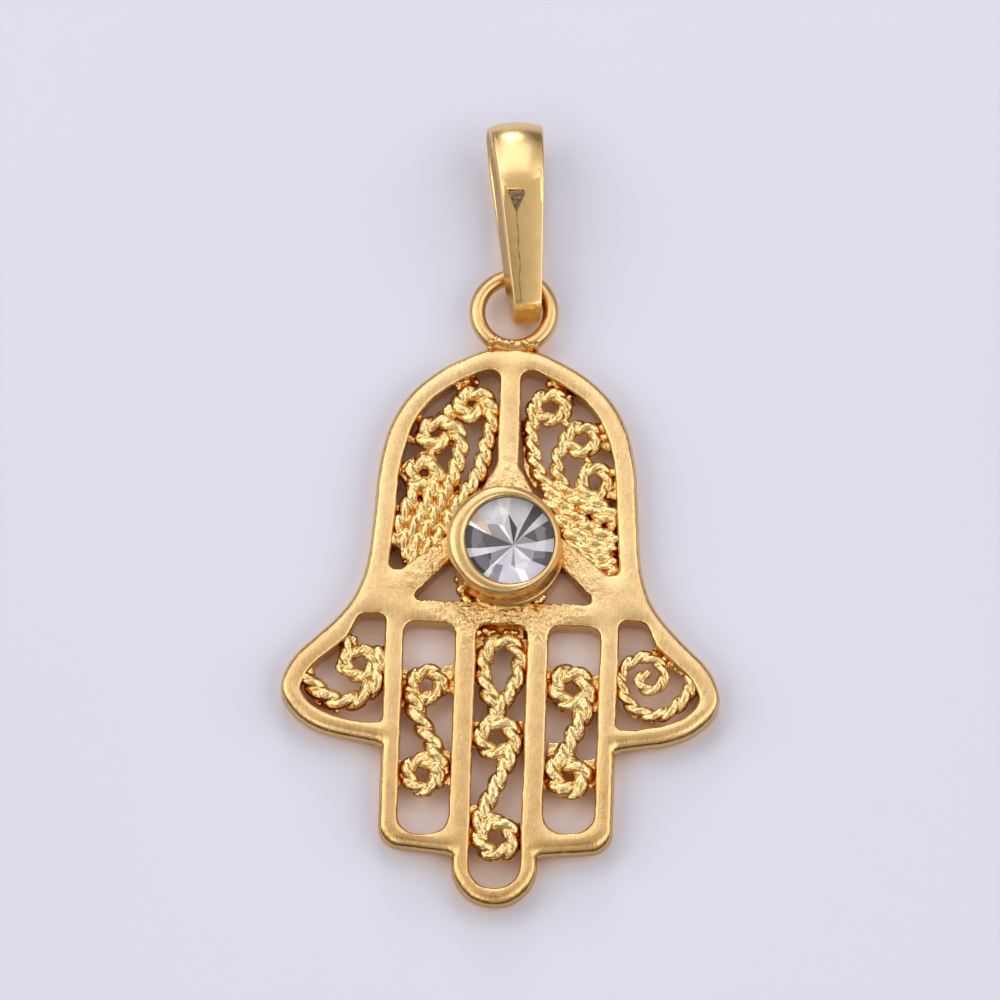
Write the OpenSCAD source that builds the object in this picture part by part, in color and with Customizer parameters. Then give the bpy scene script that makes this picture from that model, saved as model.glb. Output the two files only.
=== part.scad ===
// Hamsa pendant: a cast open hand with filigree, a round stone in a cup, a ring and a bail.
// Millimetres. The hand lies on its flat back in the XY plane, fingers towards -Y, face up.
// The origin is on the back, under the middle of the stone.

/* [Hand] */
// Width over the two thumb tips
hand_w = 17.5; // [14:0.5:22]
// Height from the middle fingertip to the top of the dome
hand_h = 23.3; // [20:0.1:27]
// Thickness of the cast frame
frame_t = 1.25; // [1:0.05:1.8]
// Width of the rim round the palm
palm_rim = 0.85; // [0.7:0.05:1.1]
// Width of the rim above the thumb's opening
thumb_rim_top = 0.95; // [0.7:0.05:1.1]
// Width of the rim below the thumb's opening
thumb_rim_low = 0.7; // [0.6:0.05:1]
// Width of the bars between the openings
bar_w = 0.85; // [0.7:0.05:1]
// Width of the cross bar between palm and fingers
cross_w = 0.93; // [0.7:0.01:1.2]

/* [Fingers] */
// Width of the slot in each finger
slot_w = 2.04; // [1.7:0.02:2.3]
// Width of the rim on the outer side of the outer fingers
finger_rim = 0.75; // [0.6:0.05:1]
// Width of the rim round the middle fingertip
tip_rim = 0.7; // [0.5:0.05:1]
// Width of the rim below the slots of the outer fingers
end_rim = 0.45; // [0.35:0.05:0.8]
// How far the outer fingertips lie above the middle one
outer_rise = 2.4; // [1.8:0.1:3.2]
// Radius of the outer fingertips' corners
finger_corner = 0.7; // [0.4:0.05:1]
// Radius of the slots' upper corners
slot_corner = 0.45; // [0.2:0.05:0.7]

/* [Filigree] */
// Thickness of the wire, over the crests of its twist
wire_d = 0.66; // [0.58:0.02:0.74]
// Height of the filigree from its back to its front
filigree_h = 0.8; // [0.6:0.02:0.88]
// Height of the filigree's middle above the back
wire_z = 0.76; // [0.6:0.02:0.78]

/* [Stone] */
// Diameter of the stone at its girdle
stone_d = 3.8; // [3.2:0.1:4]
// Height of the stone above its girdle
crown_h = 0.55; // [0.4:0.05:0.7]
// Depth of the stone below its girdle
pavilion_h = 1.6; // [1.2:0.1:1.6]
// Diameter of the stone's table
table_d = 2.1; // [1.6:0.1:2.4]
// How far the stone's table stands above the cup's lip
table_rise = 0.01; // [0:0.01:0.1]
// Clearance between the stone and its cup
stone_gap = 0.04; // [0.02:0.01:0.08]

/* [Setting] */
// Outer diameter of the cup's wall
cup_d = 4.45; // [4.3:0.05:4.8]
// Outer diameter of the cup's foot
foot_d = 4.6; // [4.5:0.05:5]
// Height of the cup above the frame's face
cup_rise = 1.6; // [1.4:0.05:2]
// Diameter of the opening in the cup's lip
lip_d = 3.52; // [3:0.02:3.6]
// Height of the lip's rounding
lip_h = 0.3; // [0.2:0.02:0.36]
// How far the cup's foot laps over the cross bar
cup_lap = 0.28; // [0.2:0.02:0.5]

/* [Ring] */
// Outer diameter of the soldered ring
ring_d = 3.54; // [3.3:0.02:4]
// Thickness of the ring's wire
ring_wire = 0.62; // [0.5:0.02:0.7]
// How far the ring's middle lies to the right of the hand's axis
ring_side = 0.03; // [0:0.01:0.1]
// How far the ring runs into the dome
ring_lap = 0.2; // [0.15:0.01:0.3]
// Width of the solder between ring and dome
solder_w = 2; // [1.4:0.1:2.4]
// How far the solder runs up the ring
solder_h = 0.27; // [0.2:0.01:0.35]

/* [Bail] */
// Length of the bail
bail_l = 8.2; // [7:0.1:10]
// Width of the bail at its top
bail_top_w = 2.1; // [1.6:0.05:2.8]
// Width of the bail at its foot
bail_foot_w = 1; // [0.8:0.05:1.1]
// Depth of the bail at its top
bail_depth = 3; // [2.6:0.1:4]
// Depth of the bail at its foot
bail_foot_depth = 1.8; // [1.76:0.02:2]
// Thickness of the bail's band
bail_t = 0.42; // [0.36:0.02:0.46]
// How much longer the bail's foot is than its band is thick
bail_fill = 0.45; // [0.2:0.05:0.5]
// How far the bail's foot lies below the ring's middle
bail_drop = 0.45; // [0.4:0.05:0.65]
// Clearance between the bail and the ring
bail_gap = 0.07; // [0.05:0.01:0.1]
// Turn of the bail against the hand, in degrees
bail_turn = 6; // [0:0.5:8]
// Lean of the bail about its length, in degrees
bail_roll = 5; // [0:0.5:6]

/* [Hidden] */
$fn = 64;

half_w = hand_w / 2;
finger_pitch = slot_w + bar_w;
finger_x = finger_pitch + slot_w / 2 + finger_rim;
slot_top = hand_h / 2;
palm_y = slot_top + cross_w;
cup_y = palm_y - cup_lap + foot_d / 2;
tip_r = slot_w / 2 + tip_rim;
lip_z = frame_t + cup_rise;

// Height of the stone's girdle
girdle_h = 0.08;
girdle_z = lip_z + table_rise - crown_h - girdle_h / 2;
ring_r = (ring_d - ring_wire) / 2;
ring_y = hand_h + ring_d / 2 - ring_lap;

// The bail rests on its back's right edge and passes under the ring's wire. Its foot lies in the
// ring, with its right corner near the wire
bail_spread = (bail_top_w - bail_foot_w) / 2 / bail_l;
bail_lift = (bail_foot_w / 2 + bail_spread * (bail_l - bail_depth / 2)) * sin(bail_roll);
ring_z = bail_lift + bail_foot_w / 2 * sin(bail_roll) + bail_t + bail_gap + ring_wire / 2;
bail_reach = ring_d / 2 - ring_wire - bail_gap;
bail_corner = [bail_foot_w / 2 * cos(bail_turn), bail_foot_w / 2 * sin(bail_turn) - bail_drop];
bail_x = ring_side + sqrt(bail_reach ^ 2 - bail_corner[1] ^ 2) - bail_corner[0]
    - bail_foot_depth / 2 * sin(bail_roll);

// Outline of one half, from the dome's top to the thumb's root.
// Columns: x as a share of half the width, y as a share of the height
half_outline = [
    [0, 1], [0.115, 0.996], [0.229, 0.978], [0.320, 0.959], [0.411, 0.932], [0.480, 0.902],
    [0.530, 0.868], [0.565, 0.828], [0.589, 0.778], [0.600, 0.722], [0.609, 0.670],
    [0.620, 0.622], [0.648, 0.575], [0.700, 0.533], [0.780, 0.496], [0.860, 0.466],
    [0.930, 0.440], [0.978, 0.411], [1, 0.379], [0.980, 0.352], [0.930, 0.328],
    [0.857, 0.309], [0.760, 0.296], [0.640, 0.288], [0.565, 0.283]
];

// Where the palm's opening follows the outline: x beyond the centre bar, y share
palm_from = [0.5, 0.61];

// How far the dome has fallen at the centre bar's edge, and the opening's rounding there
dome_fall = 0.03;
dome_corner = 0.4;

// Where the palm's opening leaves the rim and runs round the cup, as corners after the rim.
// Columns: x share, y share, radius of the corner's rounding
palm_corners = [[0.531, 0.577, 0.32], [0.200, 0.677], [0.183, 0.695]];

// The gusset above the cup starts here on the centre bar. Columns: y share, rounding
gusset = [0.788, 0.9];

// Upper corner of the opening beside the cup, hidden in the cup's wall. Columns: x, y share
wedge_top = [0.217, 0.624];

// Lower corners of that opening. Columns: x share, radius of the corner's rounding
wedge_low = [[0.434, 0.22], [0.123, 0]];

// The thumb's opening: the part of the side that it follows, as a y share, and where the rim
// itself is followed, as x beyond the outer finger and y share
thumb_side = 0.56;
thumb_from = [0.6, 0.475];

// Its upper corners. Columns: x beyond the outer finger as a share of half the width, y share,
// radius of the corner's rounding
thumb_corners = [[0, 0.513, 0.35], [0.12, 0.512, 0.45]];

// Its lower inner corner: height above the rim, rounding
thumb_low = [0.14, 0.3];

// Roundings between thumb and outer finger and between outer and middle finger
root_corner = 0.25;
tip_corner = 0.28;

// Roundings of the slots' lower corners, as shares of the slots' width
middle_end = 0.49;
outer_end = 0.42;

// Rings of wire in one half. Columns: x share, y share, radius of the middle line
rings = [
    [0.185, 0.895, 0.52], [0.340, 0.838, 0.47], [0.393, 0.765, 0.44],
    [0.655, 0.421, 0.55], [0.330, 0.388, 0.56], [0.330, 0.228, 0.54]
];

// Rings in the middle finger. Columns as above
middle_rings = [[-0.012, 0.301, 0.60], [-0.006, 0.117, 0.60]];

// Drop-shaped loop in the middle finger, a closed run of x and y shares
drop_loop = [
    [0, 0.463], [0.062, 0.450], [0.086, 0.425], [0.060, 0.385], [-0.012, 0.350],
    [-0.070, 0.385], [-0.090, 0.425], [-0.064, 0.450]
];

// Strands of wire in one half, each a run of x and y shares
strands = [
    [[0.098, 0.880], [0.095, 0.850], [0.108, 0.812], [0.120, 0.778], [0.160, 0.748],
        [0.235, 0.715], [0.330, 0.674], [0.440, 0.618]],
    [[0.275, 0.838], [0.213, 0.815], [0.207, 0.787], [0.240, 0.752], [0.320, 0.720],
        [0.410, 0.684], [0.540, 0.640]],
    [[0.330, 0.772], [0.345, 0.742], [0.420, 0.716], [0.540, 0.686]],
    [[0.215, 0.684], [0.300, 0.648], [0.400, 0.604], [0.440, 0.585]],
    [[0.420, 0.652], [0.480, 0.624], [0.540, 0.602]],
    [[0.585, 0.402], [0.600, 0.374], [0.650, 0.352], [0.710, 0.346], [0.777, 0.354],
        [0.838, 0.372], [0.880, 0.400]],
    [[0.388, 0.362], [0.364, 0.330], [0.313, 0.294], [0.268, 0.262], [0.262, 0.245]]
];

// Strand in the middle finger
middle_strand = [
    [0.050, 0.285], [0.052, 0.262], [0.030, 0.232], [-0.020, 0.196], [-0.058, 0.166],
    [-0.066, 0.148]
];

// Webs that join the rings to the frame and to each other.
// Columns: x and y share of one end, x and y share of the other
webs = [
    [0.225, 0.908, 0.285, 0.945], [0.215, 0.872, 0.300, 0.852], [0.030, 0.880, 0.098, 0.880],
    [0.385, 0.846, 0.470, 0.862], [0.358, 0.812, 0.378, 0.790], [0.430, 0.765, 0.530, 0.765],
    [0.500, 0.421, 0.610, 0.421], [0.690, 0.440, 0.760, 0.470], [0.205, 0.388, 0.270, 0.388],
    [0.390, 0.388, 0.470, 0.388], [0.205, 0.228, 0.270, 0.228], [0.390, 0.228, 0.470, 0.228]
];

// Webs in the middle finger. Columns as before
middle_webs = [
    [-0.140, 0.301, -0.075, 0.301], [0.055, 0.301, 0.140, 0.301],
    [-0.140, 0.117, -0.070, 0.117], [0.060, 0.117, 0.140, 0.117],
    [-0.140, 0.430, -0.085, 0.430], [0.085, 0.430, 0.140, 0.430],
    [-0.012, 0.355, -0.012, 0.322]
];

// Sides of a wire's section, and the distance between its sections
wire_sides = 8;
wire_step = 0.4;

// Profile of the cup. Columns: share of lip_h in from the wall or out from the opening, share of
// lip_h down from the top
lip_out = [[0, 1], [0.33, 0.27], [0.93, 0]];
lip_in = [[0.27, 0.17], [0, 0.6]];

// Height of the cup's foot above the frame's face, and of the slope on it
foot_rise = 0.1;
foot_slope = 0.2;

// Radius at the bottom of the stone's pocket
pocket_r = 0.3;

// How far the solder lies in the dome, and its lower and upper face as shares of frame_t
solder_in = 0.35;
solder_z = [0.3, 0.92];

// Places of the stone's star points between girdle and table, and of its lower facets' points
// between culet and girdle, as shares
star_share = 0.44;
culet_share = 0.3;

function unit(v) = v / norm(v);
function flat(p) = [p[0], p[1]];
function at(share) = [share[0] * half_w, share[1] * hand_h];
function flip(p) = [-p[0], p[1]];
function turned(a, b) = (b - a + 540) % 360 - 180;

// Smooth curve through p. The points before and after it set only the direction of its ends
function blend(a, b, c, d, t) =
    (2 * b + (c - a) * t + (2 * a - 5 * b + 4 * c - d) * t * t
    + (3 * b - a - 3 * c + d) * t * t * t) / 2;
function curve(p, before, after, step) = [
    for (i = [0:len(p) - 2])
        let (n = max(1, round(norm(p[i + 1] - p[i]) / step)))
            for (j = [0:n - 1])
                blend(i == 0 ? before : p[i - 1], p[i], p[i + 1],
                    i == len(p) - 2 ? after : p[i + 2], j / n),
    p[len(p) - 1]
];
function open_curve(p, step) =
    curve(p, 2 * p[0] - p[1], 2 * p[len(p) - 1] - p[len(p) - 2], step);
function closed_curve(p, step) =
    let (c = curve(concat(p, [p[0]]), p[len(p) - 1], p[1], step))
        [for (i = [0:len(c) - 2]) c[i]];

// Outline with its corners rounded by the radius in their third column
function arc(middle, r, from, to) =
    let (n = max(2, ceil(abs(turned(from, to)) / 18)))
        [for (i = [0:n]) middle + r * [cos(from + turned(from, to) * i / n),
            sin(from + turned(from, to) * i / n)]];
function corner(a, b, c, r) =
    let (u = unit(a - b), w = unit(c - b), half = acos(u * w) / 2,
        middle = b + unit(u + w) * r / sin(half),
        start = b + u * r / tan(half) - middle, end = b + w * r / tan(half) - middle)
        arc(middle, r, atan2(start[1], start[0]), atan2(end[1], end[0]));
function rounded(p) = [
    for (i = [0:len(p) - 1])
        each (len(p[i]) < 3 ? [p[i]] : corner(flat(p[(i + len(p) - 1) % len(p)]), flat(p[i]),
            flat(p[(i + 1) % len(p)]), p[i][2]))
];

// The run p moved to its right-hand side, by a distance that goes from d0 to d1
function inset(p, d0, d1) = [
    for (i = [1:len(p) - 2])
        let (u = unit(p[i + 1] - p[i - 1]))
            p[i] + [u[1], -u[0]] * (d0 + (d1 - d0) * i / (len(p) - 1))
];

root = at(half_outline[len(half_outline) - 1]);
side = curve([for (s = half_outline) at(s)], flip(at(half_outline[1])), [finger_x, root[1]], 0.5);
half_hand = rounded(concat(
    side,
    [
        [finger_x, root[1] - dome_fall, root_corner],
        [finger_x, outer_rise, finger_corner],
        [tip_r, outer_rise, tip_corner]
    ],
    [for (a = [-5:-10:-85]) [tip_r * cos(a), tip_r + tip_r * sin(a)]],
    [[0, 0]]
));
palm_opening = rounded(concat(
    [[bar_w / 2, hand_h - palm_rim - dome_fall, dome_corner]],
    [for (p = inset(side, palm_rim, palm_rim))
        if (p[0] > bar_w / 2 + palm_from[0] && p[1] > palm_from[1] * hand_h) p],
    [for (c = palm_corners) len(c) < 3 ? at(c) : [c[0] * half_w, c[1] * hand_h, c[2]]],
    [[bar_w / 2, gusset[0] * hand_h, gusset[1]]]
));
thumb_opening = rounded(concat(
    [for (c = thumb_corners) [finger_x + c[0] * half_w, c[1] * hand_h, c[2]]],
    [for (p = inset([for (p = side) if (p[1] < thumb_side * hand_h) p], thumb_rim_top, thumb_rim_low))
        if (p[0] > finger_x + thumb_from[0] && p[1] < thumb_from[1] * hand_h) p],
    [[finger_x, root[1] + thumb_rim_low + thumb_low[0], thumb_low[1]]]
));
wedge_opening = rounded([
    at(wedge_top),
    [wedge_low[0][0] * half_w, palm_y, wedge_low[0][1]],
    [wedge_low[1][0] * half_w, palm_y]
]);

module slot(low, low_r) {
    polygon(rounded([
        [-slot_w / 2, slot_top, slot_corner],
        [slot_w / 2, slot_top, slot_corner],
        [slot_w / 2, low, low_r],
        [-slot_w / 2, low, low_r]
    ]));
}

module frame() {
    linear_extrude(frame_t) difference() {
        polygon(concat(half_hand, [for (i = [len(half_hand) - 2:-1:1]) flip(half_hand[i])]));
        for (s = [-1, 1]) scale([s, 1]) {
            polygon(palm_opening);
            polygon(thumb_opening);
            polygon(wedge_opening);
            translate([finger_pitch, 0]) slot(outer_rise + end_rim, outer_end * slot_w);
        }
        slot(tip_rim, middle_end * slot_w);
        translate([0, cup_y]) circle(d = stone_d);
    }
}

// Wire along p, closed into a ring or with flat ends. Its joints are mitred
function across(a, b) = let (u = unit(b - a)) [u[1], -u[0]];
function mitre(p, i, closed) =
    let (n = len(p),
        before = closed || i > 0 ? across(p[(i + n - 1) % n], p[i]) : across(p[0], p[1]),
        after = closed || i < n - 1 ? across(p[i], p[(i + 1) % n]) : before,
        m = unit(before + after))
        m / (m * after);
function wire_points(p, closed) = [
    for (i = [0:len(p) - 1])
        let (m = mitre(p, i, closed))
            for (j = [0:wire_sides - 1])
                let (a = 360 * (j + 0.5) / wire_sides,
                    r = wire_d / 2 / cos(180 / wire_sides),
                    q = p[i] + r * cos(a) * m)
                    [q[0], q[1], r * sin(a)]
];
function wire_faces(n, closed) = concat(
    [for (i = [0:(closed ? n - 1 : n - 2)], j = [0:wire_sides - 1])
        let (a = i * wire_sides, b = ((i + 1) % n) * wire_sides, k = (j + 1) % wire_sides)
            [a + j, a + k, b + k, b + j]],
    closed ? [] : [
        [for (j = [wire_sides - 1:-1:0]) j],
        [for (j = [0:wire_sides - 1]) (n - 1) * wire_sides + j]
    ]
);

module wire(p, closed = false) {
    polyhedron(wire_points(p, closed), wire_faces(len(p), closed));
}

module wire_ring(middle, r) {
    n = round(2 * PI * r / wire_step / 2) * 2 + 2;
    wire([for (i = [0:n - 1]) middle + r * [cos(360 * i / n), sin(360 * i / n)]], true);
}

module web(w) {
    wire([flat(w), [w[2], w[3]]]);
}

module filigree() {
    for (s = [-1, 1]) {
        for (r = rings) wire_ring([s * r[0] * half_w, r[1] * hand_h], r[2]);
        for (p = strands)
            wire(open_curve([for (q = p) [s * q[0] * half_w, q[1] * hand_h]], wire_step));
        for (w = webs) web([s * w[0] * half_w, w[1] * hand_h, s * w[2] * half_w, w[3] * hand_h]);
    }
    for (r = middle_rings) wire_ring(at(r), r[2]);
    wire(closed_curve([for (q = drop_loop) at(q)], wire_step), true);
    wire(open_curve([for (q = middle_strand) at(q)], wire_step));
    for (w = middle_webs) web([w[0] * half_w, w[1] * hand_h, w[2] * half_w, w[3] * hand_h]);
}

// Cup with a foot, a wall, a lip rolled over the stone and a pocket of the stone's form
module setting() {
    bore = stone_d / 2 + stone_gap;
    seat = girdle_h / 2 + stone_gap;
    floor_z = girdle_z - girdle_h / 2 - pavilion_h - 2 * stone_gap;
    translate([0, cup_y]) rotate_extrude() polygon(concat(
        [
            [0, 0],
            [foot_d / 2, 0],
            [foot_d / 2, frame_t + foot_rise],
            [cup_d / 2, frame_t + foot_rise + foot_slope]
        ],
        [for (p = lip_out) [cup_d / 2 - p[0] * lip_h, lip_z - p[1] * lip_h]],
        [for (p = lip_in) [lip_d / 2 + p[0] * lip_h, lip_z - p[1] * lip_h]],
        [
            [bore, girdle_z + seat],
            [bore, girdle_z - seat],
            [pocket_r, floor_z],
            [0, floor_z]
        ]
    ));
}

module ring() {
    translate([ring_side, ring_y, ring_z])
        rotate_extrude() translate([ring_r, 0]) circle(d = ring_wire);
    translate([ring_side, hand_h, solder_z[0] * frame_t])
        linear_extrude((solder_z[1] - solder_z[0]) * frame_t) polygon([
            [-solder_w / 2, -solder_in],
            [solder_w / 2, -solder_in],
            [solder_w / 3, solder_h],
            [-solder_w / 3, solder_h]
        ]);
}

module hand() {
    color("goldenrod") translate([0, -cup_y]) {
        frame();
        translate([0, 0, wire_z]) resize([0, 0, filigree_h]) filigree();
        setting();
        ring();
    }
}

// Round stone with a table, a crown of kites, stars and halves, a girdle and a pavilion
module stone() {
    r = stone_d / 2;
    t = table_d / 2;
    top = girdle_h / 2;
    star = r + (t - r) * star_share;
    low = culet_share * r;
    function round_point(r, a, z) = [r * cos(a), r * sin(a), z];
    points = concat(
        [for (i = [0:7]) round_point(t, 45 * i, top + crown_h)],
        [for (i = [0:7]) round_point(star, 45 * i + 22.5,
            top + crown_h * (r - star * cos(22.5)) / (r - t))],
        [for (i = [0:15]) round_point(r, 22.5 * i, top)],
        [for (i = [0:15]) round_point(r, 22.5 * i, -top)],
        [for (i = [0:7]) round_point(low, 45 * i + 22.5,
            -top - pavilion_h * (1 - low * cos(22.5) / r))],
        [[0, 0, -top - pavilion_h]]
    );
    faces = concat(
        [[for (i = [7:-1:0]) i]],
        [for (i = [0:7]) let (k = (i + 1) % 8) each [
            [i, k, 8 + i],
            [i, 8 + i, 16 + 2 * i, 8 + (i + 7) % 8],
            [8 + i, 17 + 2 * i, 16 + 2 * i],
            [8 + i, 16 + 2 * k, 17 + 2 * i],
            [48 + i, 32 + 2 * i, 33 + 2 * i],
            [48 + i, 33 + 2 * i, 32 + 2 * k],
            [56, 48 + (i + 7) % 8, 32 + 2 * i, 48 + i]
        ]],
        [for (i = [0:15]) let (k = (i + 1) % 16) [16 + i, 16 + k, 32 + k, 32 + i]]
    );
    color("lavender") translate([0, 0, girdle_z]) polyhedron(points, faces);
}

// Drop-shaped profile round two circles that stand on the line at height z
module drop(y0, y1, z, r0, r1) {
    d = [y1 - y0, r1 - r0];
    n = atan2(d[1], d[0]) + acos((r0 - r1) / norm(d));
    polygon(concat(
        arc([y0, z + r0], r0, n, 180),
        arc([y0, z + r0], r0, 192, 270),
        arc([y1, z + r1], r1, -90, 0),
        arc([y1, z + r1], r1, 12, n)
    ));
}

// Loop of flat band with a solid foot, wider towards its top
module bail() {
    r0 = bail_foot_depth / 2;
    r1 = bail_depth / 2;
    over = 1;
    low_w = bail_foot_w / 2 - over * bail_spread;
    high_w = bail_top_w / 2 + over * bail_spread;
    color("gold")
    translate([bail_x, ring_y - bail_drop - cup_y, bail_lift])
    rotate(bail_turn) rotate([0, bail_roll, 0]) intersection() {
        rotate([90, 0, 90]) linear_extrude(2 * bail_top_w, center = true) difference() {
            drop(r0, bail_l - r1, 0, r0, r1);
            drop(r0 + bail_fill, bail_l - r1, bail_t, r0 - bail_t, r1 - bail_t);
        }
        linear_extrude(3 * bail_depth, center = true) polygon([
            [-low_w, -over],
            [low_w, -over],
            [high_w, bail_l + over],
            [-high_w, bail_l + over]
        ]);
    }
}

hand();
stone();
bail();
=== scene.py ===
"""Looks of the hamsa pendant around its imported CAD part.

The tables are in millimetres, with x from the hand's middle line and y from the middle fingertip.
Ropes and small marks are placed by where the photograph shows them, at 25 pixels to the millimetre.
"""
import math

import bmesh
import bpy
import numpy as np
from mathutils import Matrix, Vector, noise
from mathutils.geometry import delaunay_2d_cdt


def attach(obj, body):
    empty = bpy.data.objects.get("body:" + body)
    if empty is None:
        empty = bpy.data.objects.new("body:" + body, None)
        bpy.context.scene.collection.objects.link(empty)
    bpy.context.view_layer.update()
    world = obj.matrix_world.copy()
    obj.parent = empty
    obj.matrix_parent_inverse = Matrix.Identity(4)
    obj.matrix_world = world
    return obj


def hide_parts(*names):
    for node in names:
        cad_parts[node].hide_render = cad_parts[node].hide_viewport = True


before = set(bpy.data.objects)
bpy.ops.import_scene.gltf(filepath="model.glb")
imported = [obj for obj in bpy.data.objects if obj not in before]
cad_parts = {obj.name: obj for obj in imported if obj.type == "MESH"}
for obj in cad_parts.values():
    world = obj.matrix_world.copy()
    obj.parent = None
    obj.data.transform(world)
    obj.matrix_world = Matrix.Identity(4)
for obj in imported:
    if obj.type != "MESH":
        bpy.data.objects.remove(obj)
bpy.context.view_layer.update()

MM = 0.001
CUP_Y = 14.6  # the part's origin lies under the cup's middle
FACE_Z = 1.25
# The photograph: its camera's tilt, the pendant's lean, its scale and its middle fingertip
TILT = math.radians(18)
LEAN = math.radians(1.9)
PX_PER_MM = 25.0
TIP_U, TIP_V = 492.7, 900

rng = np.random.default_rng(7)


# ---- places

def place(u, v, z=1.0):
    """Point of the part, in mm from the middle fingertip, that the photograph shows at u, v."""
    xi = (u - TIP_U) / PX_PER_MM
    yi = ((TIP_V - v) / PX_PER_MM - (z - FACE_Z) * math.sin(TILT)) / math.cos(TILT)
    return (xi * math.cos(LEAN) - yi * math.sin(LEAN), xi * math.sin(LEAN) + yi * math.cos(LEAN))


def wave(x, y, z, size, seed):
    """Smooth noise from about -1 to 1, with waves of that size in mm."""
    return noise.noise(Vector((x / size + seed, y / size - seed, z / size + 0.37 * seed)))


# ---- meshes

def linked(name, data):
    """New object in the scene."""
    obj = bpy.data.objects.new(name, data)
    bpy.context.scene.collection.objects.link(obj)
    return obj


def piece(name, verts, faces, material, node="hand", slot_name="gold", smooth=True):
    """Mesh object from points in mm, measured from the middle fingertip."""
    v = np.asarray(verts, dtype=float) - np.array([0, CUP_Y, 0])
    mesh = bpy.data.meshes.new(name)
    mesh.from_pydata([tuple(p) for p in v * MM], [], [tuple(int(i) for i in f) for f in faces])
    mesh.validate()
    return dress(name, mesh, material, node, smooth)


def dress(name, mesh, material, node="hand", smooth=True):
    """Object of a mesh in metres that rides on the root and stands for a CAD node."""
    obj = linked(name, mesh)
    mesh.materials.append(material)
    mesh.polygons.foreach_set("use_smooth", [smooth] * len(mesh.polygons))
    mesh.update()
    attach(obj, "root")
    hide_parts(node)
    return obj


def turned_out(mesh, weld=0.0):
    """Turns a mesh's normals outward, after joining points that are closer than weld."""
    bm = bmesh.new()
    bm.from_mesh(mesh)
    if weld:
        bmesh.ops.remove_doubles(bm, verts=bm.verts, dist=weld)
    bmesh.ops.recalc_face_normals(bm, faces=bm.faces)
    bm.to_mesh(mesh)
    bm.free()


def unit(v):
    """Vectors of length 1."""
    return v / np.linalg.norm(v, axis=1)[:, None]


def bands(rows, width, base=0, closed=False):
    """Quads between rings of points that follow one another."""
    return [(base + k * width + j, base + k * width + (j + 1) % width,
             base + (k + 1) % rows * width + (j + 1) % width, base + (k + 1) % rows * width + j)
            for k in range(rows if closed else rows - 1) for j in range(width)]


def ends(rows, width):
    """The two polygons that close the first and the last ring."""
    return [tuple(range(width - 1, -1, -1)), tuple((rows - 1) * width + j for j in range(width))]


def fused(name, parts, voxel, smoothing, uneven):
    """One cast skin round closed meshes that run into each other, with its surface uneven in mm."""
    verts, faces = [], []
    for part_verts, part_faces in parts:
        faces += [tuple(i + len(verts) for i in f) for f in part_faces]
        verts += [tuple(p) for p in part_verts]
    raw = bpy.data.meshes.new(name + "_raw")
    raw.from_pydata(verts, [], faces)
    turned_out(raw)
    tmp = linked(name + "_raw", raw)
    m = tmp.modifiers.new("skin", "REMESH")
    m.mode = "VOXEL"
    m.voxel_size = voxel
    m.adaptivity = 0
    s = tmp.modifiers.new("soft", "SMOOTH")
    s.factor = 0.5
    s.iterations = smoothing
    deps = bpy.context.evaluated_depsgraph_get()
    skin = bpy.data.meshes.new_from_object(tmp.evaluated_get(deps))
    bpy.data.objects.remove(tmp)
    bpy.data.meshes.remove(raw)
    co, normals = np.empty((2, len(skin.vertices) * 3))
    skin.vertices.foreach_get("co", co)
    skin.vertices.foreach_get("normal", normals)
    co = co.reshape(-1, 3)
    d = np.array([wave(*p, 0.34, 2.1) + 0.6 * wave(*p, 0.14, 5.3) for p in co])
    co = co + normals.reshape(-1, 3) * (uneven * d)[:, None]
    co = (co - np.array([0, CUP_Y, 0])) * MM
    skin.vertices.foreach_set("co", co.ravel())
    skin.name = name
    dress(name, skin, CAST)


def tube(path, radius, sides=10):
    """Closed tube with rounded ends along a path."""
    p = np.asarray(path, dtype=float)
    r = np.broadcast_to(np.asarray(radius, dtype=float), (len(p),)).copy()
    t = unit(np.gradient(p, axis=0))
    caps = [0.45, 0.8]
    first = [p[0] - t[0] * r[0] * math.sqrt(1 - c * c) for c in caps]
    last = [p[-1] + t[-1] * r[-1] * math.sqrt(1 - c * c) for c in reversed(caps)]
    p = np.vstack([first, p, last])
    t = np.vstack([[t[0]] * 2, t, [t[-1]] * 2])
    r = np.concatenate([[r[0] * c for c in caps], r, [r[-1] * c for c in reversed(caps)]])
    side = unit(np.cross(t, [0, 0, 1.0]))
    up = np.cross(side, t)
    a = np.arange(sides) * 2 * math.pi / sides
    v = (p[:, None, :] + r[:, None, None] * (np.cos(a)[None, :, None] * side[:, None, :]
         + np.sin(a)[None, :, None] * up[:, None, :])).reshape(-1, 3)
    return v, bands(len(p), sides) + ends(len(p), sides)


def ball(centre, r, squash):
    """Small grain of metal, squashed along X, Y and Z."""
    bm = bmesh.new()
    bmesh.ops.create_icosphere(bm, subdivisions=2, radius=1)
    v = np.array([list(q.co) for q in bm.verts]) * r * np.array(squash) + np.array(centre)
    f = [tuple(q.index for q in g.verts) for g in bm.faces]
    bm.free()
    return v, f


def lathe(profile, segments, closed=False):
    """Surface of revolution round the Z axis, from points (radius, height)."""
    prof = np.asarray(profile, dtype=float)
    a = np.arange(segments) * 2 * math.pi / segments
    v = np.stack([prof[:, 0][:, None] * np.cos(a), prof[:, 0][:, None] * np.sin(a),
                  np.repeat(prof[:, 1][:, None], segments, axis=1)], axis=2).reshape(-1, 3)
    n = len(prof)
    return v, bands(n, segments, closed=closed) + ([] if closed else ends(n, segments))


# ---- curves

def around(x, y, rx, ry, a):
    """Point on an ellipse at an angle."""
    return (x + rx * math.cos(a), y + ry * math.sin(a))


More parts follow.
